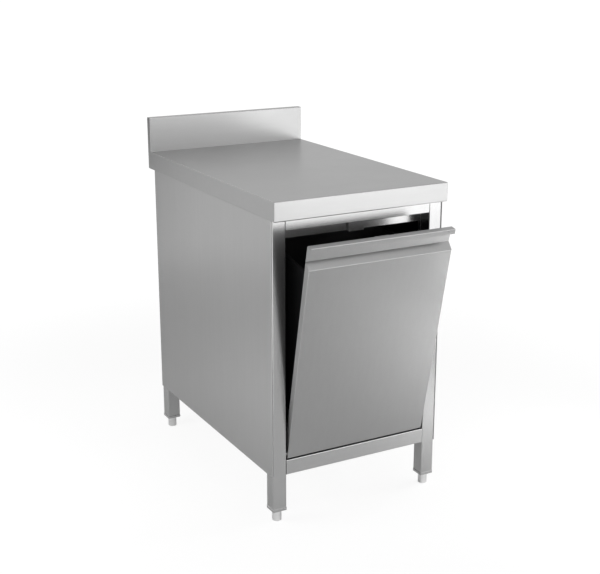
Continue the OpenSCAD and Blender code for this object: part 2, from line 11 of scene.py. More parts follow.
import bmesh
import bpy
from mathutils import Matrix, Vector


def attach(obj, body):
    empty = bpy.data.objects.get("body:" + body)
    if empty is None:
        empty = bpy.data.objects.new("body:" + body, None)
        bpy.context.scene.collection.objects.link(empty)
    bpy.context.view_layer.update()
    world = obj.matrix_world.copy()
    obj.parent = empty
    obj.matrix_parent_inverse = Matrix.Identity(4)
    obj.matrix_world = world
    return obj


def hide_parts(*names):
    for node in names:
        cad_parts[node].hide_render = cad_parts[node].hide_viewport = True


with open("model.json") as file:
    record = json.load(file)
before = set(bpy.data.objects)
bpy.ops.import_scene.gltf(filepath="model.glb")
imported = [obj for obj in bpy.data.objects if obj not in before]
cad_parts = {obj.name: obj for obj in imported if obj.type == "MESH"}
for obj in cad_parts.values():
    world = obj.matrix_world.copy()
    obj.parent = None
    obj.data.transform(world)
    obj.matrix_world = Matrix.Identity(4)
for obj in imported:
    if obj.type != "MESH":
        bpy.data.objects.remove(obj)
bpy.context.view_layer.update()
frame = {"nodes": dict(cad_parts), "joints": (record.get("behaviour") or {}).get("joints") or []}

log = logging.getLogger("cabinet")

MM = 0.001
WHITE = (1.0, 1.0, 1.0, 1.0)


class Body(Enum):
    """The moving bodies of the cabinet."""

    CABINET = "cabinet"
    HOPPER = "hopper"
    BIN = "waste_bin"
    FOOT_FRONT_LEFT = "front_left_foot"
    FOOT_FRONT_RIGHT = "front_right_foot"
    FOOT_REAR_LEFT = "rear_left_foot"
    FOOT_REAR_RIGHT = "rear_right_foot"


class Grain(Enum):
    """The direction in which a sheet was brushed, as its pattern's factor along each axis."""

    ACROSS = (0.02, 1.0, 1.0)
    DEEP = (1.0, 0.02, 1.0)
    UPRIGHT = (1.0, 1.0, 0.02)


class NodeGroups:
    """Builds the shader node groups that several finishes share, once each."""

    NOISE_LOW = 0.15
    NOISE_HIGH = 0.85
    FINE_DETAIL = 3.0
    FINE_ROUGHNESS = 0.6
    BROAD_DETAIL = 2.0
    PATCH_DETAIL = 4.0
    PATCH_DISTORTION = 0.4

    def _tree(
        self,
        name: str,
        inputs: Sequence[tuple[str, str, float | None]],
        outputs: Sequence[tuple[str, str]],
    ) -> bpy.types.NodeTree:
        """Makes an empty group with named sockets.

        Args:
            name: The group's name.
            inputs: Each socket's name, type and default, or None for no default.
            outputs: Each socket's name and type.

        Returns:
            The new group, which holds its input and output nodes.
        """
        tree = bpy.data.node_groups.new(name, "ShaderNodeTree")
        for label, kind, default in inputs:
            socket = tree.interface.new_socket(label, in_out="INPUT", socket_type=kind)
            if default is not None:
                socket.default_value = default
        for label, kind in outputs:
            tree.interface.new_socket(label, in_out="OUTPUT", socket_type=kind)
        tree.nodes.new("NodeGroupInput").name = "In"
        tree.nodes.new("NodeGroupOutput").name = "Out"
        return tree

    @cached_property
    def brushing(self) -> bpy.types.NodeTree:
        """Builds the group for brush lines: long fine streaks over broad faint ones.

        Returns:
            The group, which gives the lines as a mask and as a height.
        """
        tree = self._tree(
            "Brush Lines",
            [
                ("Point", "NodeSocketVector", None),
                ("Fine Pitch", "NodeSocketFloat", 900.0),
                ("Broad Pitch", "NodeSocketFloat", 90.0),
                ("Broad Share", "NodeSocketFloat", 0.35),
            ],
            [("Lines", "NodeSocketFloat"), ("Height", "NodeSocketFloat")],
        )
        nodes, links = tree.nodes, tree.links
        fine = nodes.new("ShaderNodeTexNoise")
        fine.inputs["Detail"].default_value = self.FINE_DETAIL
        fine.inputs["Roughness"].default_value = self.FINE_ROUGHNESS
        broad = nodes.new("ShaderNodeTexNoise")
        broad.inputs["Detail"].default_value = self.BROAD_DETAIL
        blend = nodes.new("ShaderNodeMix")
        blend.data_type = "FLOAT"
        links.new(nodes["In"].outputs["Point"], fine.inputs["Vector"])
        links.new(nodes["In"].outputs["Point"], broad.inputs["Vector"])
        links.new(nodes["In"].outputs["Fine Pitch"], fine.inputs["Scale"])
        links.new(nodes["In"].outputs["Broad Pitch"], broad.inputs["Scale"])
        links.new(nodes["In"].outputs["Broad Share"], blend.inputs["Factor"])
        links.new(fine.outputs["Fac"], blend.inputs["A"])
        links.new(broad.outputs["Fac"], blend.inputs["B"])
        links.new(blend.outputs["Result"], nodes["Out"].inputs["Lines"])
        links.new(fine.outputs["Fac"], nodes["Out"].inputs["Height"])
        return tree

    @cached_property
    def spread(self) -> bpy.types.NodeTree:
        """Builds the group that turns a mask into a value between two limits.

        Returns:
            The group, which gives the value.
        """
        tree = self._tree(
            "Spread",
            [
                ("Mask", "NodeSocketFloat", 0.5),
                ("Low", "NodeSocketFloat", 0.0),
                ("High", "NodeSocketFloat", 1.0),
            ],
            [("Value", "NodeSocketFloat")],
        )
        nodes, links = tree.nodes, tree.links
        steps = nodes.new("ShaderNodeMapRange")
        steps.inputs["From Min"].default_value = self.NOISE_LOW
        steps.inputs["From Max"].default_value = self.NOISE_HIGH
        links.new(nodes["In"].outputs["Mask"], steps.inputs["Value"])
        links.new(nodes["In"].outputs["Low"], steps.inputs["To Min"])
        links.new(nodes["In"].outputs["High"], steps.inputs["To Max"])
        links.new(steps.outputs["Result"], nodes["Out"].inputs["Value"])
        return tree

    @cached_property
    def handling(self) -> bpy.types.NodeTree:
        """Builds the group for soft uneven patches, such as wiping leaves.

        Returns:
            The group, which gives the patches as a mask.
        """
        tree = self._tree(
            "Wiped Patches",
            [("Point", "NodeSocketVector", None), ("Patch Scale", "NodeSocketFloat", 7.0)],
            [("Patches", "NodeSocketFloat")],
        )
        nodes, links = tree.nodes, tree.links
        patches = nodes.new("ShaderNodeTexNoise")
        patches.inputs["Detail"].default_value = self.PATCH_DETAIL
        patches.inputs["Distortion"].default_value = self.PATCH_DISTORTION
        links.new(nodes["In"].outputs["Point"], patches.inputs["Vector"])
        links.new(nodes["In"].outputs["Patch Scale"], patches.inputs["Scale"])
        links.new(patches.outputs["Fac"], nodes["Out"].inputs["Patches"])
        return tree

    @cached_property
    def pebble(self) -> bpy.types.NodeTree:
        """Builds the group for moulded or pressed texture, fine and even.

        Returns:
            The group, which gives the texture as a height.
        """
        tree = self._tree(
            "Pebble Texture",
            [("Point", "NodeSocketVector", None), ("Pebble Scale", "NodeSocketFloat", 900.0)],
            [("Height", "NodeSocketFloat")],
        )
        nodes, links = tree.nodes, tree.links
        cells = nodes.new("ShaderNodeTexVoronoi")
        cells.feature = "SMOOTH_F1"
        links.new(nodes["In"].outputs["Point"], cells.inputs["Vector"])
        links.new(nodes["In"].outputs["Pebble Scale"], cells.inputs["Scale"])
        links.new(cells.outputs["Distance"], nodes["Out"].inputs["Height"])
        return tree


GROUPS = NodeGroups()


class MaterialBench:
    """A new material with its Principled shader, ready to be wired."""

    RAMP_START = 0.3
    RAMP_END = 0.7

    def __init__(self, name: str) -> None:
        """Makes the material.

        Args:
            name: The material's name.
        """
        self.material = bpy.data.materials.new(name)
        self.material.use_nodes = True
        self.nodes = self.material.node_tree.nodes
        self.links = self.material.node_tree.links
        self.shader = self.nodes["Principled BSDF"]

    def set(self, **sockets: float) -> None:
        """Sets plain numbers on the shader's sockets.

        Args:
            **sockets: Values by socket name, with spaces written as underscores.
        """
        for label, value in sockets.items():
            self.shader.inputs[label.replace("_", " ")].default_value = value

    def point(self, stretch: Sequence[float] = (1.0, 1.0, 1.0)) -> bpy.types.NodeSocket:
        """Places the piece's own coordinates, in metres, squeezed along each axis.

        Args:
            stretch: The factor along each axis.

        Returns:
            The socket that holds them.
        """
        coordinates = self.nodes.new("ShaderNodeTexCoord")
        mapping = self.nodes.new("ShaderNodeMapping")
        mapping.inputs["Scale"].default_value = stretch
        self.links.new(coordinates.outputs["Object"], mapping.inputs["Vector"])
        return mapping.outputs["Vector"]

    def group(self, tree: bpy.types.NodeTree, **values: float) -> bpy.types.Node:
        """Places a shared group.

        Args:
            tree: The group.
            **values: Its inputs by name, with spaces written as underscores.

        Returns:
            The group's node.
        """
        node = self.nodes.new("ShaderNodeGroup")
        node.node_tree = tree
        for label, value in values.items():
            node.inputs[label.replace("_", " ")].default_value = value
        return node

    def shades(
        self, mask: bpy.types.NodeSocket, dark: Sequence[float], light: Sequence[float]
    ) -> None:
        """Colours the shader between two shades by a mask.

        Args:
            mask: The socket that holds the mask.
            dark: The colour where the mask is low.
            light: The colour where the mask is high.
        """
        ramp = self.nodes.new("ShaderNodeValToRGB")
        ramp.color_ramp.elements[0].position = self.RAMP_START
        ramp.color_ramp.elements[1].position = self.RAMP_END
        ramp.color_ramp.elements[0].color = (*dark, 1.0)
        ramp.color_ramp.elements[1].color = (*light, 1.0)
        self.links.new(mask, ramp.inputs["Fac"])
        self.links.new(ramp.outputs["Color"], self.shader.inputs["Base Color"])

    def roughness(self, mask: bpy.types.NodeSocket, low: float, high: float) -> None:
        """Spreads the roughness between two limits by a mask.

        Args:
            mask: The socket that holds the mask.
            low: The roughness where the mask is low.
            high: The roughness where the mask is high.
        """
        spread = self.group(GROUPS.spread, Low=low, High=high)
        self.links.new(mask, spread.inputs["Mask"])
        self.links.new(spread.outputs["Value"], self.shader.inputs["Roughness"])

    def relief(self, height: bpy.types.NodeSocket, strength: float, depth: float) -> None:
        """Adds a bump.

        Args:
            height: The socket that holds the height.
            strength: The bump's strength.
            depth: The relief's full depth, in metres.
        """
        bump = self.nodes.new("ShaderNodeBump")
        bump.inputs["Strength"].default_value = strength
        bump.inputs["Distance"].default_value = depth
        self.links.new(height, bump.inputs["Height"])
        self.links.new(bump.outputs["Normal"], self.shader.inputs["Normal"])


def grey(level: float) -> tuple[float, float, float]:
    """Returns a neutral grey of a linear level."""
    return (level, level, level)


@dataclass(frozen=True)
class BrushedSteel:
    """Satin stainless sheet or tube, brushed one way and then wiped."""

    name: str
    grain: Grain
    level: float = 0.42
    contrast: float = 0.03
    smooth: float = 0.27
    rough: float = 0.33
    metallic: float = 0.95
    edge_tint: float = 0.78
    relief: float = 0.06
    relief_depth: float = 0.02 * MM

    def material(self) -> bpy.types.Material:
        """Builds the finish.

        Returns:
            The finish as a material.
        """
        bench = MaterialBench(self.name)
        bench.set(Metallic=self.metallic)
        bench.shader.inputs["Specular Tint"].default_value = (*grey(self.edge_tint), 1.0)
        along = bench.point(self.grain.value)
        lines = bench.group(GROUPS.brushing)
        bench.links.new(along, lines.inputs["Point"])
        bench.shades(
            lines.outputs["Lines"],
            grey(self.level * (1 - self.contrast)),
            grey(self.level * (1 + self.contrast)),
        )
        patches = bench.group(GROUPS.handling)
        bench.links.new(bench.point(), patches.inputs["Point"])
        bench.roughness(patches.outputs["Patches"], self.smooth, self.rough)
        bench.relief(lines.outputs["Height"], self.relief, self.relief_depth)
        return bench.material


@dataclass(frozen=True)
class TurnedSteel:
    """Bright turned metal, for the feet, pins and rivets."""

    name: str
    level: float = 0.72
    smooth: float = 0.12
    rough: float = 0.2
    ring_pitch: float = 1500.0
    broad_share: float = 0.1
    ring_squeeze: tuple[float, float, float] = (0.05, 0.05, 1.0)
    dark_share: float = 0.95
    light_share: float = 1.03
    relief: float = 0.08
    relief_depth: float = 0.02 * MM

    def material(self) -> bpy.types.Material:
        """Builds the finish.

        Returns:
            The finish as a material.
        """
        bench = MaterialBench(self.name)
        bench.set(Metallic=1.0)
        rings = bench.group(
            GROUPS.brushing, Fine_Pitch=self.ring_pitch, Broad_Share=self.broad_share
        )
        bench.links.new(bench.point(self.ring_squeeze), rings.inputs["Point"])
        bench.shades(
            rings.outputs["Lines"],
            grey(self.level * self.dark_share),
            grey(self.level * self.light_share),
        )
        bench.roughness(rings.outputs["Lines"], self.smooth, self.rough)
        bench.relief(rings.outputs["Height"], self.relief, self.relief_depth)
        return bench.material


@dataclass(frozen=True)
class MouldedPlastic:
    """Moulded plastic with a fine pebble and faint wiped patches."""

    name: str
    colour: tuple[float, float, float]
    smooth: float = 0.42
    rough: float = 0.55
    specular: float = 0.4
    patch_scale: float = 14.0
    dark_share: float = 0.9
    light_share: float = 1.15
    pebble_pitch: float = 700.0
    relief: float = 0.15
    relief_depth: float = 0.08 * MM

    def material(self) -> bpy.types.Material:
        """Builds the finish.

        Returns:
            The finish as a material.
        """
        bench = MaterialBench(self.name)
        bench.set(Metallic=0.0, Specular_IOR_Level=self.specular)
        patches = bench.group(GROUPS.handling, Patch_Scale=self.patch_scale)
        bench.links.new(bench.point(), patches.inputs["Point"])
        dark = tuple(part * self.dark_share for part in self.colour)
        light = tuple(part * self.light_share for part in self.colour)
        bench.shades(patches.outputs["Patches"], dark, light)
        bench.roughness(patches.outputs["Patches"], self.smooth, self.rough)
        pebble = bench.group(GROUPS.pebble, Pebble_Scale=self.pebble_pitch)
        bench.links.new(bench.point(), pebble.inputs["Point"])
        bench.relief(pebble.outputs["Height"], self.relief, self.relief_depth)
        return bench.material


@dataclass(frozen=True)
class RawBoard:
    """Pressed board or card, seen only from below the worktop or inside the door."""

    name: str
    dark: tuple[float, float, float] = (0.30, 0.20, 0.12)
    light: tuple[float, float, float] = (0.55, 0.41, 0.27)
    chip_scale: float = 160.0
    smooth: float = 0.7
    rough: float = 0.9
    relief: float = 0.3
    relief_depth: float = 0.3 * MM

    def material(self) -> bpy.types.Material:
        """Builds the finish.

        Returns:
            The finish as a material.
        """
        bench = MaterialBench(self.name)
        bench.set(Metallic=0.0)
        chips = bench.group(GROUPS.handling, Patch_Scale=self.chip_scale)
        bench.links.new(bench.point(), chips.inputs["Point"])
        bench.shades(chips.outputs["Patches"], self.dark, self.light)
        bench.roughness(chips.outputs["Patches"], self.smooth, self.rough)
        bench.relief(chips.outputs["Patches"], self.relief, self.relief_depth)
        return bench.material


@dataclass(frozen=True)
class DarkFerrite:
    """The magnet's dark, slightly grainy face."""

    name: str
    colour: tuple[float, float, float] = (0.035, 0.035, 0.038)
    metallic: float = 0.3
    grain_pitch: float = 1400.0
    dark_share: float = 0.85
    smooth: float = 0.45
    rough: float = 0.6
    relief: float = 0.2
    relief_depth: float = 0.05 * MM

    def material(self) -> bpy.types.Material:
        """Builds the finish.

        Returns:
            The finish as a material.
        """
        bench = MaterialBench(self.name)
        bench.set(Metallic=self.metallic)
        pebble = bench.group(GROUPS.pebble, Pebble_Scale=self.grain_pitch)
        bench.links.new(bench.point(), pebble.inputs["Point"])
        dark = tuple(part * self.dark_share for part in self.colour)
        bench.shades(pebble.outputs["Height"], dark, self.colour)
        bench.roughness(pebble.outputs["Height"], self.smooth, self.rough)
        bench.relief(pebble.outputs["Height"], self.relief, self.relief_depth)
        return bench.material


@dataclass(frozen=True)
class FinishSet:
    """Every finish on the cabinet, made once."""

    worktop: bpy.types.Material
    upright: bpy.types.Material
    side: bpy.types.Material
    rail: bpy.types.Material
    door: bpy.types.Material
    hidden: bpy.types.Material
    foot: bpy.types.Material
    pin: bpy.types.Material
    rivet: bpy.types.Material
    black: bpy.types.Material
    nylon: bpy.types.Material
    board: bpy.types.Material
    core: bpy.types.Material
    ferrite: bpy.types.Material

    @classmethod
    def make(cls) -> "FinishSet":
        """Makes the cabinet's own finishes.

        Returns:
            The set of them.
        """
        return cls(
            # The same stainless steel gets a different base level on each part, set to how bright
            # that part looks under the lamps: the door's and worktop's lower levels are painted
            # shade, the legs' and rails' higher levels are painted light.
            worktop=BrushedSteel("worktop steel", Grain.ACROSS, level=0.385).material(),
            upright=BrushedSteel(
                "leg steel", Grain.UPRIGHT, level=0.45, smooth=0.19, rough=0.25
            ).material(),
            side=BrushedSteel("side panel steel", Grain.UPRIGHT).material(),
            rail=BrushedSteel(
                "rail steel", Grain.ACROSS, level=0.45, smooth=0.2, rough=0.26
            ).material(),
            door=BrushedSteel("door steel", Grain.UPRIGHT, level=0.355).material(),
            hidden=BrushedSteel("inner steel", Grain.UPRIGHT, level=0.4, rough=0.4).material(),
            foot=TurnedSteel("turned foot steel", level=0.88, smooth=0.05, rough=0.08).material(),
            # The pins' low level is painted shade, which keeps them dark where they sit in the
            # legs.
            pin=TurnedSteel("pin steel", level=0.5, smooth=0.22, rough=0.3).material(),
            rivet=TurnedSteel("rivet aluminium", level=0.65, smooth=0.25, rough=0.35).material(),
            black=MouldedPlastic("black bin plastic", (0.012, 0.012, 0.013)).material(),
            nylon=MouldedPlastic("white nylon", (0.75, 0.75, 0.71)).material(),
            board=RawBoard("raw board").material(),
            core=RawBoard("card honeycomb", (0.42, 0.34, 0.24), (0.6, 0.52, 0.4)).material(),
            ferrite=DarkFerrite("magnet ferrite").material(),
        )


EdgeTest = Callable[[bmesh.types.BMEdge], bool]


class SheetMaker:
    """Turns CAD nodes into finished pieces, with their arcs smooth and chosen edges eased."""

    SMOOTH_ANGLE = math.radians(32.0)
    FLAT_ANGLE = math.radians(0.3)
    WELD = 0.002 * MM
    FLAT_WEIGHT = 80
    ROUND_PROFILE = 0.5

    def outline(self, node: str) -> bmesh.types.BMesh:
        """Copies a node's mesh and joins its coplanar faces.

        Args:
            node: The CAD node's name.

        Returns:
            The copy, which the caller frees.
        """
        mesh = bmesh.new()
        mesh.from_mesh(frame["nodes"][node].data)
        bmesh.ops.remove_doubles(mesh, verts=mesh.verts[:], dist=self.WELD)
        bmesh.ops.dissolve_limit(
            mesh,
            angle_limit=self.FLAT_ANGLE,
            verts=mesh.verts[:],
            edges=mesh.edges[:],
            use_dissolve_boundaries=False,
        )
        mesh.normal_update()
        return mesh

    def ease(self, mesh: bmesh.types.BMesh, test: EdgeTest, radius: float, steps: int = 3) -> None:
        """Rounds the edges that a test picks.

        Args:
            mesh: The mesh to change.
            test: Says whether an edge is rounded.
            radius: The radius, in metres.
            steps: How many strips make the round.
        """
        chosen = [edge for edge in mesh.edges if test(edge)]
        if not chosen:
            log.warning("no edge to ease")
            return
        bmesh.ops.bevel(
            mesh,
            geom=chosen,
            offset=radius,
            offset_type="OFFSET",
            segments=steps,
            profile=self.ROUND_PROFILE,
            affect="EDGES",
            clamp_overlap=True,
        )
        mesh.normal_update()

    def piece(
        self, name: str, mesh: bmesh.types.BMesh, finish: bpy.types.Material
    ) -> bpy.types.Object:
        """Makes an object of a mesh, smooth over its arcs and sharp at its folds.

        Args:
            name: The object's name.
            mesh: The mesh, which this frees.
            finish: The object's material.

        Returns:
            The new object, linked to the scene.
        """
        for edge in mesh.edges:
            inner = len(edge.link_faces) == 2
            edge.smooth = inner and edge.calc_face_angle(0.0) < self.SMOOTH_ANGLE
        for face in mesh.faces:
            face.smooth = True
        data = bpy.data.meshes.new(name)
        mesh.to_mesh(data)
        mesh.free()
        data.materials.append(finish)
        made = bpy.data.objects.new(name, data)
        bpy.context.scene.collection.objects.link(made)
        weighting = made.modifiers.new("Flat faces", "WEIGHTED_NORMAL")
        weighting.keep_sharp = True
        weighting.weight = self.FLAT_WEIGHT
        return made

    def stand_in(
        self,
        node: str,
        body: Body,
        slot: str,
        finish: bpy.types.Material,
        test: EdgeTest | None = None,
        radius: float = 0.0,
    ) -> bpy.types.Object:
        """Makes the finished piece for a CAD node and hides the node.

        Args:
            node: The CAD node's name.
            body: The body that the piece rides on.
            slot: The record's material slot.
            finish: The piece's material.
            test: Says which edges are rounded, if any are.
            radius: Their radius, in metres.

        Returns:
            The finished piece.
        """
        mesh = self.outline(node)
        if test is not None:
            self.ease(mesh, test, radius)
        made = self.piece(f"{node}_finished", mesh, finish)
        report_piece(made, body, slot, node)
        return made


SHEETS = SheetMaker()


def report_piece(piece: bpy.types.Object, body: Body, slot: str, *nodes: str) -> None:
    """Puts a piece on its body and hides the nodes that it stands for.

    Args:
        piece: The piece.
        body: The body that it rides on.
        slot: The record's material slot. Not used.
        *nodes: The CAD nodes that it replaces, if any.
    """
    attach(piece, body.value)
    if nodes:
        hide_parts(*nodes)
    log.info("%s rides on %s, %d faces", piece.name, body.value, len(piece.data.polygons))


def give(nodes: Iterable[str], finish: bpy.types.Material) -> None:
    """Gives CAD nodes that stay as they are their finish.

    Args:
        nodes: The nodes' names.
        finish: The material.
    """
    for node in nodes:
        slots = frame["nodes"][node].data.materials
        slots.clear()
        slots.append(finish)
        log.info("%s keeps its shape, finished in %s", node, finish.name)


def sharp(edge: bmesh.types.BMEdge, degrees: float = 60.0) -> bool:
    """Says whether an edge stands out by more than an angle.

    Args:
        edge: The edge.
        degrees: The angle between its faces' normals.

    Returns:
        Whether it is convex and sharper than that.
    """
    if len(edge.link_faces) != 2 or not edge.is_convex:
        return False
    return edge.calc_face_angle(0.0) > math.radians(degrees)


@dataclass
class HopperFrame:
    """The tilting door's own upright frame, as it stands in the row frame.

    In it, y = 0 is the door's back face, z = 0 its bottom edge and x = 0 its middle.
    """

    tilt: float = 11.7
    door_depth: float = 20.9 * MM
    pivot_up: float = 9.0 * MM

    def matrix(self) -> Matrix:
        """Places the door's frame on the door's joint.

        Returns:
            The matrix from the door's frame to the row frame.
        """
        joint = next(j for j in frame["joints"] if j["name"] == "door_tilt")
        pivot = Matrix.Translation(Vector(joint["pos_m"]))
        turn = Matrix.Rotation(math.radians(self.tilt), 4, "X")
        home = Matrix.Translation(Vector((0.0, self.door_depth / 2, -self.pivot_up)))
        return pivot @ turn @ home

    def local(self, point: Vector) -> Vector:
        """Returns a point of the row frame, in metres, in the door's own frame."""
        return self.matrix().inverted() @ point


@dataclass
class Worktop:
    """The folded worktop with its upstand, the board below it and two stiffeners."""

    finishes: FinishSet
    half_width: float = 250.0 * MM
    edge_radius: float = 1.6 * MM
    near: float = 0.02 * MM

    def _is_side_edge(self, edge: bmesh.types.BMEdge) -> bool:
        """Says whether an edge runs round one of the worktop's two ends."""
        ends = [abs(vertex.co.x) > self.half_width - self.near for vertex in edge.verts]
        return all(ends) and sharp(edge)

    def build(self) -> None:
        """Makes and finishes the worktop's pieces."""
        SHEETS.stand_in(
            "worktop_skin", Body.CABINET, "satin_steel", self.finishes.worktop,
            self._is_side_edge, self.edge_radius,
        )
        give(["worktop_board"], self.finishes.board)
        give(["worktop_stiffeners"], self.finishes.hidden)


@dataclass
class Stand:
    """The frame of square tube: four legs with their end caps, and eight rails."""

    finishes: FinishSet
    cap_edge_radius: float = 0.4 * MM
    floor_gap: float = 31.0 * MM
    cap_height: float = 7.0 * MM
    near: float = 0.1 * MM
    shortest: float = 0.5 * MM
    legs: tuple[str, ...] = ("front_left", "front_right", "rear_left", "rear_right")
    sides: tuple[str, ...] = ("front", "rear", "left", "right")

    def _is_cap_edge(self, edge: bmesh.types.BMEdge) -> bool:
        """Says whether an edge lies round the rim of a leg's end cap.

        Args:
            edge: The edge.

        Returns:
            Whether it is level, sharp and at the caps' height.
        """
        top = self.floor_gap + self.cap_height + self.near
        low = all(vertex.co.z < top for vertex in edge.verts)
        level = abs(edge.verts[0].co.z - edge.verts[1].co.z) < self.near
        return low and level and sharp(edge) and edge.calc_length() > self.shortest

    def build(self) -> None:
        """Makes and finishes the legs, caps and rails."""
        for leg in self.legs:
            SHEETS.stand_in(f"leg_{leg}", Body.CABINET, "satin_steel", self.finishes.upright)
        for side in self.sides:
            for level in ("top", "bottom"):
                SHEETS.stand_in(
                    f"{level}_rail_{side}", Body.CABINET, "satin_steel", self.finishes.rail
                )
        SHEETS.stand_in(
            "leg_caps", Body.CABINET, "satin_steel", self.finishes.upright,
            self._is_cap_edge, self.cap_edge_radius,
        )


@dataclass
class FeetSet:
    """The four turned feet, each on its own body."""

    finishes: FinishSet
    places: dict[str, Body] = field(
        default_factory=lambda: {
            "foot_front_left": Body.FOOT_FRONT_LEFT,
            "foot_front_right": Body.FOOT_FRONT_RIGHT,
            "foot_rear_left": Body.FOOT_REAR_LEFT,
            "foot_rear_right": Body.FOOT_REAR_RIGHT,
        }
    )

    def build(self) -> None:
        """Makes and finishes the feet."""
        for node, body in self.places.items():
            SHEETS.stand_in(node, body, "bright_steel", self.finishes.foot)


@dataclass
class Cladding:
    """The side panels, the back panel with its rivets, and the floor panel."""

    finishes: FinishSet

    def build(self) -> None:
        """Makes and finishes the panels."""
        for side in ("left", "right"):
            SHEETS.stand_in(f"side_panel_{side}", Body.CABINET, "satin_steel", self.finishes.side)
        SHEETS.stand_in("back_panel", Body.CABINET, "satin_steel", self.finishes.side)
        SHEETS.stand_in("floor_panel", Body.CABINET, "satin_steel", self.finishes.hidden)
        SHEETS.stand_in("back_rivets", Body.CABINET, "rivet_aluminium", self.finishes.rivet)


@dataclass
class DoorSurround:
    """The jambs and header round the door, and the magnetic catch on the header."""

    finishes: FinishSet
    catch_edge_radius: float = 0.4 * MM

    def build(self) -> None:
        """Makes and finishes the surround and the catch."""
        for side in ("left", "right"):
            SHEETS.stand_in(f"jamb_{side}", Body.CABINET, "satin_steel", self.finishes.upright)
        SHEETS.stand_in("header_strip", Body.CABINET, "satin_steel", self.finishes.rail)
        SHEETS.stand_in(
            "catch_housing", Body.CABINET, "satin_steel", self.finishes.rail,
            sharp, self.catch_edge_radius,
        )
        give(["catch_magnet"], self.finishes.ferrite)


@dataclass
class TiltingDoor:
    """The door: a folded outer skin with its handle, an inner skin, and what they hold."""

    finishes: FinishSet
    hopper: HopperFrame
    half_width: float = 205.25 * MM
    height: float = 592.8 * MM
    lip_height: float = 13.2 * MM
    lip_corner_radius: float = 4.0 * MM
    near: float = 0.05 * MM

    def _is_lip_corner(self, edge: bmesh.types.BMEdge) -> bool:
        """Says whether an edge is the short one at a lower corner of the handle's lip.

        Args:
            edge: The edge.

        Returns:
            Whether both its ends lie at that corner.
        """
        if not sharp(edge):
            return False
        ends = [self.hopper.local(vertex.co) for vertex in edge.verts]
        low = self.height - self.lip_height
        return all(
            abs(abs(end.x) - self.half_width) < self.near and abs(end.z - low) < self.near
            for end in ends
        )

    def build(self) -> None:
        """Makes and finishes the door's pieces."""
        SHEETS.stand_in(
            "door_outer_skin", Body.HOPPER, "satin_steel", self.finishes.door,
            self._is_lip_corner, self.lip_corner_radius,
        )
        SHEETS.stand_in("door_inner_skin", Body.HOPPER, "satin_steel", self.finishes.door)
        give(["door_core"], self.finishes.core)
        give(["pivot_bushes"], self.finishes.nylon)


@dataclass
class TiltGear:
    """What holds and stops the door: pins in the legs, stay plates, strike and rivets."""

    finishes: FinishSet

    def build(self) -> None:
        """Makes and finishes the pieces of the tilting gear."""
        for pins in ("pivot_pins", "stop_pins"):
            SHEETS.stand_in(pins, Body.CABINET, "bright_steel", self.finishes.pin)
        for side in ("left", "right"):
            SHEETS.stand_in(f"stay_plate_{side}", Body.HOPPER, "satin_steel", self.finishes.hidden)
        SHEETS.stand_in("strike_bracket", Body.HOPPER, "satin_steel", self.finishes.hidden)
        SHEETS.stand_in("hopper_rivets", Body.HOPPER, "rivet_aluminium", self.finishes.rivet)


@dataclass
class BinCarrier:
    """The tray below the bin and the hook that holds its rim."""

    finishes: FinishSet

    def build(self) -> None:
        """Makes and finishes the tray and the hook."""
        SHEETS.stand_in("bin_tray", Body.HOPPER, "satin_steel", self.finishes.hidden)
        SHEETS.stand_in("bin_hook", Body.HOPPER, "satin_steel", self.finishes.hidden)


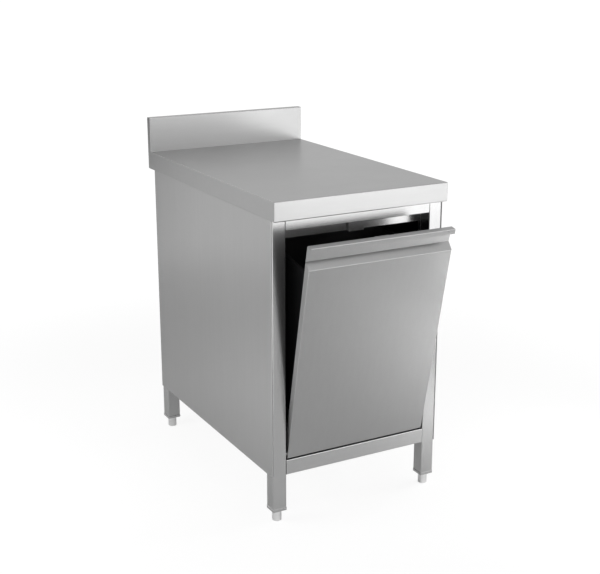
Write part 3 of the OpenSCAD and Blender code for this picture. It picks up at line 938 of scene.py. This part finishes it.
@dataclass
class WasteBin:
    """The black tapered tub with its turned-down rim, in the door's own frame."""

    finishes: FinishSet
    hopper: HopperFrame
    rim_half_width: float = 172.0 * MM
    rim_up: float = 493.0 * MM
    front: float = 2.0 * MM
    depth: float = 245.0 * MM
    wall: float = 3.0 * MM
    draft: float = 10.0 * MM
    corner: float = 24.0 * MM
    rim_width: float = 4.0 * MM
    rim_height: float = 12.0 * MM
    skirt_wall: float = 2.0 * MM
    foot_up: float = 23.8 * MM
    foot_round: float = 7.0 * MM
    rim_round: float = 1.4 * MM
    least_corner: float = 2.0 * MM
    arc_steps: int = 8
    foot_steps: int = 4
    rim_steps: int = 3

    def _ring(self, inset: float, up: float, round_in: float = 0.0) -> list[Vector]:
        """Returns one closed ring of points round the tub.

        Args:
            inset: How far the ring lies inside the outer wall. The skirt's is negative.
            up: The ring's height above the door's bottom edge.
            round_in: How far the ring is drawn in further, as at the foot.

        Returns:
            The ring's points in the door's own frame.
        """
        taper = 0.0 if inset < 0 else self.draft * (self.rim_up - up) / (self.rim_up - self.foot_up)
        pull = inset + round_in
        half = self.rim_half_width - self.rim_width - pull - taper
        front = self.front + self.rim_width + pull
        back = self.front + self.depth - self.rim_width - pull - taper
        radius = max(self.corner - pull, self.least_corner)
        centres = (
            (half - radius, back - radius, 0.0),
            (radius - half, back - radius, 90.0),
            (radius - half, front + radius, 180.0),
            (half - radius, front + radius, 270.0),
        )
        ring = []
        for x, y, start in centres:
            for step in range(self.arc_steps + 1):
                angle = math.radians(start + 90.0 * step / self.arc_steps)
                over, back_by = radius * math.cos(angle), radius * math.sin(angle)
                ring.append(Vector((x + over, y + back_by, up)))
        return ring

    def _quarter(self, steps: int) -> list[tuple[float, float]]:
        """Returns 1 - cosine and 1 - sine of the angles along a quarter turn."""
        angles = [math.radians(90.0 * step / steps) for step in range(steps + 1)]
        return [(1 - math.cos(angle), 1 - math.sin(angle)) for angle in angles]

    def _rings(self) -> list[list[Vector]]:
        """Works out the tub's rings: up its outside, over its rim and down its inside.

        Returns:
            The rings, from the one round its underside to the one round its floor.
        """
        rings = [
            self._ring(0.0, self.foot_up + self.foot_round * rise, self.foot_round * pull)
            for rise, pull in self._quarter(self.foot_steps)
        ]
        under_rim = self.rim_up - self.wall
        inside_skirt = self.skirt_wall - self.rim_width
        rings.append(self._ring(0.0, under_rim))
        rings.append(self._ring(inside_skirt, under_rim))
        rings.append(self._ring(inside_skirt, self.rim_up - self.rim_height))
        rings.append(self._ring(-self.rim_width, self.rim_up - self.rim_height))
        for over, drop in self._quarter(self.rim_steps):
            inset = -self.rim_width + self.rim_round * over
            rings.append(self._ring(inset, self.rim_up - self.rim_round * drop))
        for drop, over in self._quarter(self.rim_steps):
            inset = self.wall - self.rim_round * over
            rings.append(self._ring(inset, self.rim_up - self.rim_round * drop))
        inner_round = self.foot_round - self.wall / 2
        for pull, rise in self._quarter(self.foot_steps):
            up = self.foot_up + self.wall + inner_round * rise
            rings.append(self._ring(self.wall, up, inner_round * pull))
        return rings

    def build(self) -> None:
        """Makes the tub from its rings and finishes it."""
        mesh = bmesh.new()
        rows = [[mesh.verts.new(point) for point in ring] for ring in self._rings()]
        count = len(rows[0])
        for low, high in zip(rows, rows[1:]):
            for i in range(count):
                j = (i + 1) % count
                mesh.faces.new((low[i], low[j], high[j], high[i]))
        mesh.faces.new(list(reversed(rows[0])))
        mesh.faces.new(rows[-1])
        bmesh.ops.recalc_face_normals(mesh, faces=mesh.faces[:])
        mesh.transform(self.hopper.matrix())
        mesh.normal_update()
        made = SHEETS.piece("bin_moulded", mesh, self.finishes.black)
        report_piece(made, Body.BIN, "black_plastic", "bin")


class Rays(Enum):
    """The kinds of ray that see the white background."""

    CAMERA = "Is Camera Ray"
    GLOSSY = "Is Glossy Ray"
    TRANSMISSION = "Is Transmission Ray"


@dataclass(frozen=True)
class SoftBox:
    """A rectangular studio lamp that points at a target, mirrored in the steel or not."""

    # an area lamp's watts per square metre, for one unit of radiance
    ENERGY_PER_AREA = 4.0

    name: str
    place: tuple[float, float, float]
    target: tuple[float, float, float]
    width: float
    height: float
    radiance: float
    mirrored: bool = True

    def build(self) -> None:
        """Makes the lamp."""
        data = bpy.data.lights.new(self.name, "AREA")
        data.shape = "RECTANGLE"
        data.size = self.width
        data.size_y = self.height
        data.energy = self.radiance * self.ENERGY_PER_AREA * self.width * self.height
        lamp = bpy.data.objects.new(self.name, data)
        aim = Vector(self.target) - Vector(self.place)
        lamp.location = self.place
        lamp.visible_glossy = self.mirrored
        lamp.rotation_euler = aim.to_track_quat("-Z", "Y").to_euler()
        bpy.context.scene.collection.objects.link(lamp)
        log.info("lamp %s at %s", self.name, self.place)


@dataclass
class Studio:
    """The pale floor, the white surroundings, the soft lamps and the camera."""

    floor_size: float = 60.0
    floor_level: float = 0.8
    floor_rough: float = 0.9
    floor_specular: float = 0.1
    floor_white_near: float = 0.84
    floor_glow: float = 1.05
    floor_near: float = 0.9
    floor_far: float = 2.4
    world_level: float = 0.17
    camera_place: tuple[float, float, float] = (-1.46754, -2.69570, 1.42925)
    camera_yaw: float = 28.75
    camera_pitch: float = 16.58
    camera_lens: float = 68.87
    camera_sensor: float = 36.0
    camera_reach: float = 100.0

    def _ray_mask(
        self, tree: bpy.types.NodeTree, shares: dict[Rays, float]
    ) -> bpy.types.NodeSocket:
        """Places nodes that tell the kinds of ray apart.

        Args:
            tree: The node tree to build in.
            shares: The share for each kind of ray.

        Returns:
            The socket that holds the ray's share, and 0 for other rays.
        """
        path = tree.nodes.new("ShaderNodeLightPath")
        total: bpy.types.NodeSocket | None = None
        for rays, share in shares.items():
            part = tree.nodes.new("ShaderNodeMath")
            part.operation = "MULTIPLY"
            part.inputs[1].default_value = share
            tree.links.new(path.outputs[rays.value], part.inputs[0])
            if total is None:
                total = part.outputs["Value"]
                continue
            either = tree.nodes.new("ShaderNodeMath")
            either.operation = "MAXIMUM"
            tree.links.new(total, either.inputs[0])
            tree.links.new(part.outputs["Value"], either.inputs[1])
            total = either.outputs["Value"]
        return total

    def _world(self) -> None:
        """Makes surroundings that look white and light the object evenly."""
        world = bpy.data.worlds.new("white surroundings")
        world.use_nodes = True
        tree = world.node_tree
        light = tree.nodes["Background"]
        light.inputs["Color"].default_value = WHITE
        light.inputs["Strength"].default_value = self.world_level
        white = tree.nodes.new("ShaderNodeBackground")
        white.inputs["Color"].default_value = WHITE
        white.inputs["Strength"].default_value = 1.0
        pick = tree.nodes.new("ShaderNodeMixShader")
        white_rays = {Rays.CAMERA: 1.0, Rays.GLOSSY: 1.0, Rays.TRANSMISSION: 1.0}
        tree.links.new(self._ray_mask(tree, white_rays), pick.inputs["Fac"])
        tree.links.new(light.outputs["Background"], pick.inputs[1])
        tree.links.new(white.outputs["Background"], pick.inputs[2])
        tree.links.new(pick.outputs["Shader"], tree.nodes["World Output"].inputs["Surface"])
        bpy.context.scene.world = world

    def _floor_share(self, bench: MaterialBench) -> bpy.types.NodeSocket:
        """Places nodes for how much of the floor's white shows, all of it far off.

        Args:
            bench: The floor's material.

        Returns:
            The socket that holds the share.
        """
        distance = bench.nodes.new("ShaderNodeVectorMath")
        distance.operation = "LENGTH"
        bench.links.new(bench.point(), distance.inputs[0])
        fade = bench.nodes.new("ShaderNodeMapRange")
        fade.interpolation_type = "SMOOTHSTEP"
        fade.inputs["From Min"].default_value = self.floor_near
        fade.inputs["From Max"].default_value = self.floor_far
        fade.inputs["To Min"].default_value = self.floor_white_near
        fade.inputs["To Max"].default_value = 1.0
        bench.links.new(distance.outputs["Value"], fade.inputs["Value"])
        seen = {Rays.CAMERA: 1.0, Rays.TRANSMISSION: 1.0}
        share = bench.nodes.new("ShaderNodeMath")
        share.operation = "MULTIPLY"
        bench.links.new(self._ray_mask(bench.material.node_tree, seen), share.inputs[0])
        bench.links.new(fade.outputs["Result"], share.inputs[1])
        return share.outputs["Value"]

    def _floor(self) -> None:
        """Makes the pale floor, which keeps a part of the object's shadow."""
        bench = MaterialBench("pale floor")
        bench.set(Roughness=self.floor_rough, Specular_IOR_Level=self.floor_specular)
        bench.shader.inputs["Base Color"].default_value = (*grey(self.floor_level), 1.0)
        white = bench.nodes.new("ShaderNodeEmission")
        white.inputs["Color"].default_value = WHITE
        white.inputs["Strength"].default_value = self.floor_glow
        mix = bench.nodes.new("ShaderNodeMixShader")
        bench.links.new(self._floor_share(bench), mix.inputs["Fac"])
        bench.links.new(bench.shader.outputs["BSDF"], mix.inputs[1])
        bench.links.new(white.outputs["Emission"], mix.inputs[2])
        bench.links.new(mix.outputs["Shader"], bench.nodes["Material Output"].inputs["Surface"])
        half = self.floor_size / 2
        data = bpy.data.meshes.new("floor")
        corners = [(-half, -half, 0.0), (half, -half, 0.0), (half, half, 0.0), (-half, half, 0.0)]
        data.from_pydata(corners, [], [(0, 1, 2, 3)])
        data.materials.append(bench.material)
        floor = bpy.data.objects.new("floor", data)
        bpy.context.scene.collection.objects.link(floor)

    def _lamps(self) -> None:
        """Places the soft lamps."""
        boxes = (
            SoftBox("front right", (1.3, -2.4, 1.15), (0.1, -0.35, 0.75), 1.8, 1.8, 0.95),
            SoftBox("front right, low", (1.05, -2.15, 0.45), (0.05, -0.35, 0.8), 1.5, 0.85, 1.31),
            SoftBox("right, near", (0.85, -0.5, 0.3), (0.3, -0.48, 0.05), 0.3, 0.2, 2.33),
            SoftBox("right, in front", (0.72, -0.75, 0.25), (0.35, -0.6, 0.0), 0.35, 0.2, 2.08),
            SoftBox("right", (3.0, -0.2, 1.2), (0.0, 0.0, 0.5), 1.8, 1.8, 0.82),
            SoftBox("front left", (-1.0, -1.15, 0.34), (-0.25, -0.33, 0.32), 1.3, 0.62, 1.54),
            SoftBox("front left, floor", (-0.75, -0.95, 0.12), (-0.25, -0.33, 0.2), 0.6, 0.15, 0.6),
            SoftBox("left, low", (-1.3, 0.2, 0.6), (-0.5, 0.3, 0.0), 0.8, 0.5, 1.85),
            SoftBox("behind left", (-1.5, 1.7, 0.9), (-0.8, 1.1, 0.0), 0.9, 0.9, 1.6),
            SoftBox("behind left, low", (-1.3, 1.8, 0.3), (-0.25, 0.1, 0.4), 1.0, 0.5, 0.62),
            SoftBox("floor, left", (-1.3, 0.2, 0.6), (-0.5, 0.3, 0.0), 0.8, 0.5, 4.95, False),
            SoftBox("floor, right", (3.0, -0.2, 1.2), (0.0, 0.0, 0.5), 1.8, 1.8, 4.36, False),
            SoftBox("floor, near", (0.93, -0.68, 0.3), (0.35, -0.6, 0.0), 0.6, 0.26, 5.42, False),
        )
        for lamp in boxes:
            lamp.build()

    def _camera(self) -> None:
        """Places the camera at the photograph's angle."""
        data = bpy.data.cameras.new("camera")
        data.lens = self.camera_lens
        data.sensor_width = self.camera_sensor
        data.sensor_fit = "HORIZONTAL"
        data.clip_end = self.camera_reach
        camera = bpy.data.objects.new("camera", data)
        camera.location = self.camera_place
        camera.rotation_euler = (
            math.radians(90.0 - self.camera_pitch), 0.0, math.radians(-self.camera_yaw)
        )
        bpy.context.scene.collection.objects.link(camera)
        bpy.context.scene.camera = camera

    def build(self) -> None:
        """Sets up the whole studio."""
        bpy.context.scene.view_settings.view_transform = "Standard"
        self._world()
        self._floor()
        self._lamps()
        self._camera()


def main() -> None:
    """Builds the studio and every sub-assembly."""
    logging.basicConfig(level=logging.INFO, format="%(name)s: %(message)s")
    Studio().build()
    finishes = FinishSet.make()
    hopper = HopperFrame()
    for assembly in (
        Worktop(finishes),
        Stand(finishes),
        FeetSet(finishes),
        Cladding(finishes),
        DoorSurround(finishes),
        TiltingDoor(finishes, hopper),
        TiltGear(finishes),
        BinCarrier(finishes),
        WasteBin(finishes, hopper),
    ):
        assembly.build()


if __name__ == "__main__":
    main()
